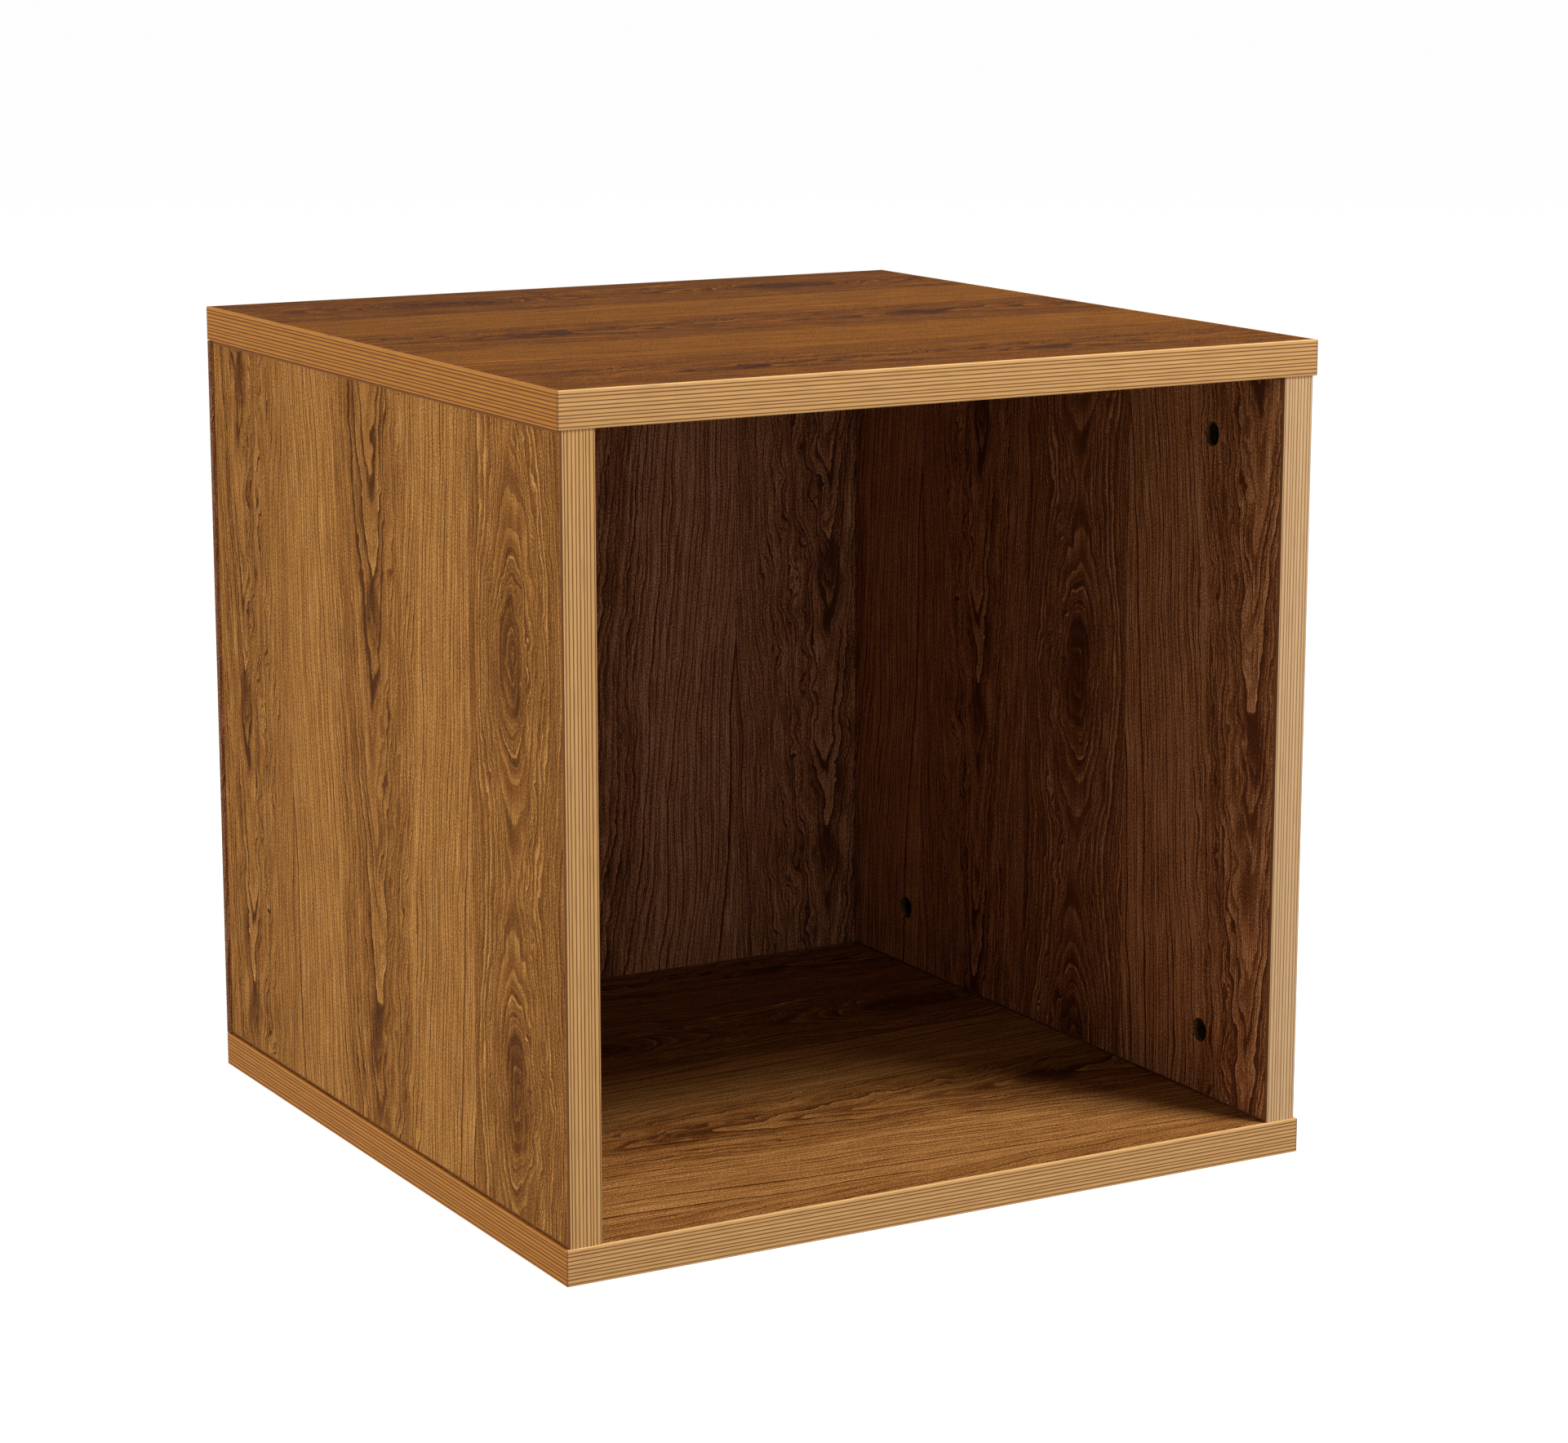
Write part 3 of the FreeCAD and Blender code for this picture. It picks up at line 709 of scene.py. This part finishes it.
def bolt_radius(t, level, angle):
    ball = t.sizes["Ball Radius"]
    ball = t.maths("SUBTRACT", t.maths("MULTIPLY", ball, ball), t.maths("MULTIPLY", level, level))
    ball = t.maths("SQRT", t.maths("MAXIMUM", ball, 0.0))
    past_ball = t.maths("GREATER_THAN", level, 0.0)
    past_neck = t.maths("GREATER_THAN", level, t.sizes["Neck End"])
    neck = t.maths("MULTIPLY", past_ball, t.sizes["Neck Radius"])
    shank = t.maths("MULTIPLY", past_neck, t.sizes["Shank Radius"])
    return threaded(t, level, angle, t.maths("MAXIMUM", t.maths("MAXIMUM", ball, neck), shank))


ZINC_PLATE = ((176, 178, 182), (206, 206, 202))
BOLT_SIZES = {
    "Start": -2.2, "End": 39.0, "Ball Radius": 2.2, "Neck Radius": 1.3, "Neck End": 5.55,
    "Shank Radius": 2.5, "Thread Start": 29.0, "Pitch": 1.25, "Thread Depth": 0.35,
}
bolts_tree = Turnery(
    "cam bolt", plated_steel("zinc-plated steel", *ZINC_PLATE, 0.2), BOLT_SIZES,
    facets=16, rows=190, margin=0.2, radius=bolt_radius,
)
CAM_ROWS = (-124.5, 122.5)
BALL_TO_END = 29.0
lower_ball = lower_end + BALL_TO_END
upper_ball = upper_end - BALL_TO_END
for level_name, height, facing in (("lower", lower_ball, DOWNWARDS), ("upper", upper_ball, UPWARDS)):
    bolts = bolts_tree.make(f"threaded_{level_name}_cam_bolts", four_places(CAM_ROWS, height), facing)
    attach(bolts, "cube")
    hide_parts(f"{level_name}_cam_bolts")

# ---------------------------------------------------------------------------------------------
# Back panel screws: six 3 x 16 mm countersunk steel screws, three up each side, driven through
# the rear panel into the rear edges of the side boards.
# ---------------------------------------------------------------------------------------------


def screw_radius(t, level, angle):
    cone = t.maths("SUBTRACT", t.maths("ADD", t.sizes["Head Radius"], t.sizes["Head Rim"]), level)
    head = t.maths("MINIMUM", cone, t.sizes["Head Radius"])
    tip = t.maths("DIVIDE", t.maths("SUBTRACT", t.sizes["End"], level), t.sizes["Tip Length"])
    shank = t.maths("MULTIPLY", t.maths("MINIMUM", tip, 1.0), t.sizes["Shank Radius"])
    return t.maths("MAXIMUM", head, t.maths("MAXIMUM", threaded(t, level, angle, shank), 0.0))


def cross_recess(t, part):
    # Two crossed bars, as deep again outside the head as in it, are cut out of it
    bars = t.tree.nodes.new("GeometryNodeJoinGeometry")
    long, short = t.sizes["Slot Length"], t.sizes["Slot Width"]
    tall = t.maths("MULTIPLY", t.sizes["Slot Depth"], 2.0)
    for bar_size in (t.vector(long, short, tall), t.vector(short, long, tall)):
        t.join(t.add("GeometryNodeMeshCube", {"Size": bar_size}), bars.inputs[0])
    cut = t.tree.nodes.new("GeometryNodeMeshBoolean")
    cut.operation = "DIFFERENCE"
    cut.solver = "EXACT"
    cut.inputs["Self Intersection"].default_value = True
    t.join(part, cut.inputs["Mesh 1"])
    t.join(bars.outputs[0], cut.inputs["Mesh 2"])
    return cut.outputs[0]


YELLOW_PLATE = ((178, 158, 104), (208, 192, 142))
SCREW_SIZES = {
    "Start": 0.0, "End": 16.0, "Head Radius": 3.0, "Head Rim": 0.4, "Shank Radius": 1.5, "Tip Length": 2.0,
    "Thread Start": 3.0, "Pitch": 1.2, "Thread Depth": 0.35,
    "Slot Length": 3.4, "Slot Width": 0.8, "Slot Depth": 1.1,
}
screws_tree = Turnery(
    "countersunk screw", plated_steel("yellow-passivated steel", *YELLOW_PLATE, 0.22), SCREW_SIZES,
    facets=24, rows=108, margin=0.2, radius=screw_radius, finishing=cross_recess,
)
SCREW_HEIGHTS = (55.0, 175.0, 295.0)
FORWARDS = (math.pi / 2, 0.0, 0.0)
rear_face = box_mm("back_panel")[1][Y]
screw_places = [(x, rear_face, height) for x in (-side_middle, side_middle) for height in SCREW_HEIGHTS]
screws = screws_tree.make("countersunk_back_panel_screws", screw_places, FORWARDS)
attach(screws, "cube")
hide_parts("back_panel_screws")

# ---------------------------------------------------------------------------------------------
# Studio: a seamless white backdrop, a soft light from the left, a key light from the upper
# right, a dim white tent all round and the camera.
# ---------------------------------------------------------------------------------------------

# The floor is flat for ten metres round and then sweeps up as a white wall
FLAT_REACH = 10.0
WALL_REACH = 30.0
WALL_HEIGHT = 20.0
FLOOR_SIDES = 48
SWEEP_STEPS = 12
rims = [(FLAT_REACH, 0.0)]
for step in range(1, SWEEP_STEPS + 1):
    turn = math.pi / 2 * step / SWEEP_STEPS
    rim_reach = FLAT_REACH + (WALL_REACH - FLAT_REACH) * math.sin(turn)
    rims.append((rim_reach, WALL_HEIGHT * (1 - math.cos(turn))))
floor_corners = [(0.0, 0.0, 0.0)]
for rim_reach, rim_height in rims:
    for side in range(FLOOR_SIDES):
        turn = FULL_TURN * side / FLOOR_SIDES
        floor_corners.append((rim_reach * math.cos(turn), rim_reach * math.sin(turn), rim_height))
floor_faces = []
for side in range(FLOOR_SIDES):
    following = (side + 1) % FLOOR_SIDES
    floor_faces.append((0, 1 + side, 1 + following))
    for ring in range(len(rims) - 1):
        inner = 1 + ring * FLOOR_SIDES
        outer = inner + FLOOR_SIDES
        floor_faces.append((inner + side, outer + side, outer + following, inner + following))
floor_mesh = bpy.data.meshes.new("studio floor")
floor_mesh.from_pydata(floor_corners, [], floor_faces)
floor_mesh.shade_smooth()
floor = bpy.data.objects.new("studio_floor", floor_mesh)
bpy.context.scene.collection.objects.link(floor)
floor.visible_diffuse = False
floor.visible_glossy = False
WHITE = (1, 1, 1, 1)
FLOOR_GREY = (0.30, 0.30, 0.30, 1)
FLOOR_GLOW = 0.92
floor_paint = Finish("pale floor")
floor_paint.shader.inputs["Base Color"].default_value = FLOOR_GREY
floor_paint.shader.inputs["Roughness"].default_value = 1.0
floor_paint.shader.inputs["Specular IOR Level"].default_value = 0.0
floor_paint.shader.inputs["Emission Color"].default_value = WHITE
floor_paint.shader.inputs["Emission Strength"].default_value = FLOOR_GLOW
floor_mesh.materials.append(floor_paint.material)

# The tent is dimmer overhead than at the sides: how high a direction points, and how bright it is
SIDES = (0.2, 0.44)
OVERHEAD = (0.9, 0.12)
world = bpy.data.worlds.new("white tent")
bpy.context.scene.world = world
world.use_nodes = True
tent = world.node_tree
direction = tent.nodes.new("ShaderNodeTexCoord")
upright = tent.nodes.new("ShaderNodeSeparateXYZ")
dimming = tent.nodes.new("ShaderNodeMapRange")
dimming.inputs["From Min"].default_value, dimming.inputs["To Min"].default_value = SIDES
dimming.inputs["From Max"].default_value, dimming.inputs["To Max"].default_value = OVERHEAD
tent.links.new(direction.outputs["Generated"], upright.inputs[0])
tent.links.new(upright.outputs["Z"], dimming.inputs["Value"])
tent.links.new(dimming.outputs["Result"], tent.nodes["Background"].inputs["Strength"])
tent.nodes["Background"].inputs["Color"].default_value = WHITE


def soft_light(name, place, aim, size, watts):
    lamp = bpy.data.lights.new(name, "AREA")
    lamp.shape = "RECTANGLE"
    lamp.size, lamp.size_y = size
    lamp.energy = watts
    light = bpy.data.objects.new(name, lamp)
    light.location = place
    light.rotation_euler = (Vector(aim) - Vector(place)).to_track_quat("-Z", "Y").to_euler()
    bpy.context.scene.collection.objects.link(light)


soft_light("left light", (-2.6, 0.15, 0.5), (0, 0, 0.17), (1.4, 1.2), 48)
soft_light("key light", (0.85, -1.0, 2.35), (0, -0.1, 0.1), (0.6, 0.6), 56)

LENS = 93.07
STANDING = (-0.8398, -1.5190, 0.5361)
LOOKING_DOWN = math.radians(11.747)
TURNED_RIGHT = math.radians(29.537)
camera_data = bpy.data.cameras.new("camera")
camera_data.sensor_width = 36.0
camera_data.lens = LENS
camera = bpy.data.objects.new("camera", camera_data)
camera.location = STANDING
camera.rotation_euler = Euler((math.pi / 2 - LOOKING_DOWN, 0, -TURNED_RIGHT))
bpy.context.scene.collection.objects.link(camera)
bpy.context.scene.camera = camera
bpy.context.scene.view_settings.view_transform = "Standard"
